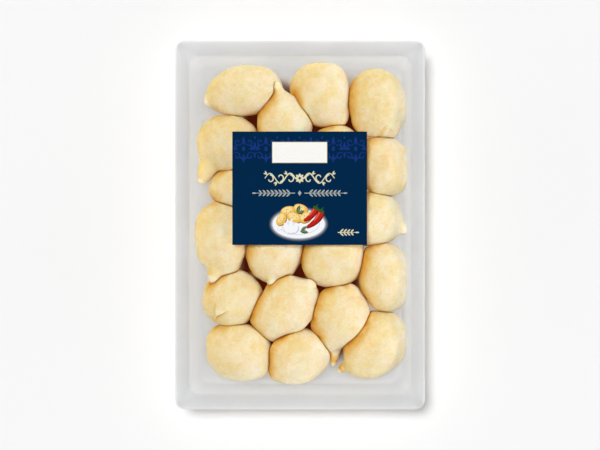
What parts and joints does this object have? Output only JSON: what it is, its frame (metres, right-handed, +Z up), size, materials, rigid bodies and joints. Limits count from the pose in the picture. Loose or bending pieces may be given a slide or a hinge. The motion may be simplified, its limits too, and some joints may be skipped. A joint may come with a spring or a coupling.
{
  "type": "sealed tray of potato gnocchi",
  "caption": "Milky plastic tray holding one layer of large filled, pinched potato gnocchi, closed by clear film with a small printed paper label.",
  "frame": {"origin": "under the centre of the tray, on the plane of its flat base", "axes": "+Z up through the film, +Y along the tray's long side towards the end with the label, +X across the tray"},
  "size_m": [0.1484, 0.219, 0.0337],
  "materials": {
    "tray": "milky translucent polypropylene, satin, moulded",
    "film": "clear, glossy, taut lidding film",
    "label": "coated paper, deep navy print with gold rules",
    "dough": "matt, floury potato dough, pale cream yellow"
  },
  "bodies": {
    "root": {"tray": "tray", "film": "film", "label": "label", "gnocco_01": "dough", "gnocco_02": "dough", "gnocco_03": "dough", "gnocco_04": "dough", "gnocco_05": "dough", "gnocco_06": "dough", "gnocco_07": "dough", "gnocco_08": "dough", "gnocco_09": "dough", "gnocco_10": "dough", "gnocco_11": "dough", "gnocco_12": "dough", "gnocco_13": "dough", "gnocco_14": "dough", "gnocco_15": "dough", "gnocco_16": "dough", "gnocco_17": "dough", "gnocco_18": "dough", "gnocco_19": "dough", "gnocco_20": "dough", "gnocco_21": "dough"}
  },
  "joints": []
}
